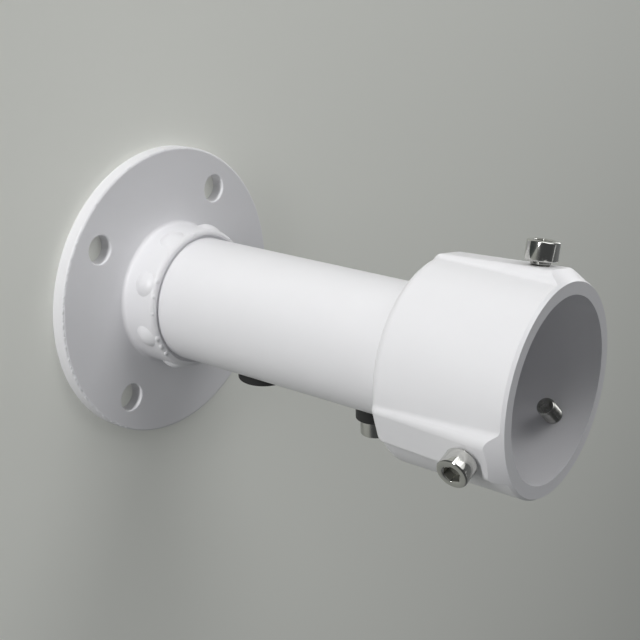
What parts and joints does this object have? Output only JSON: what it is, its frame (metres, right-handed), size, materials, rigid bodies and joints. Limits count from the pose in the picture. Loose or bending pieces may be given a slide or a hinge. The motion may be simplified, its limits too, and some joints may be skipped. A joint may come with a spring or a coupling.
{
  "type": "camera ceiling bracket",
  "caption": "Ceiling bracket: a round foot with a tube that ends in a ribbed cup, in which radial hexagon-socket screws clamp a camera's stem.",
  "frame": {"origin": "centre of the foot's mounting face, which is the face that meets the ceiling", "axes": "+Z along the tube, from the mounting face to the mouth of the camera socket; -X through the rib and screw that the picture shows on top; -Y is the side that the picture is taken from"},
  "size_m": [0.1054, 0.1054, 0.16],
  "materials": {
    "white_coat": "satin",
    "bright_screw": "polished",
    "black_spacer": "satin",
    "black_rubber": "matte"
  },
  "bodies": {
    "root": {"mounting_flange": "white_coat", "tube": "white_coat", "camera_socket": "white_coat", "clamp_screw_1": "bright_screw", "clamp_screw_2": "bright_screw", "clamp_screw_3": "bright_screw", "safety_screw": "bright_screw", "safety_washer": "black_spacer", "cable_plug": "black_rubber"}
  },
  "joints": []
}
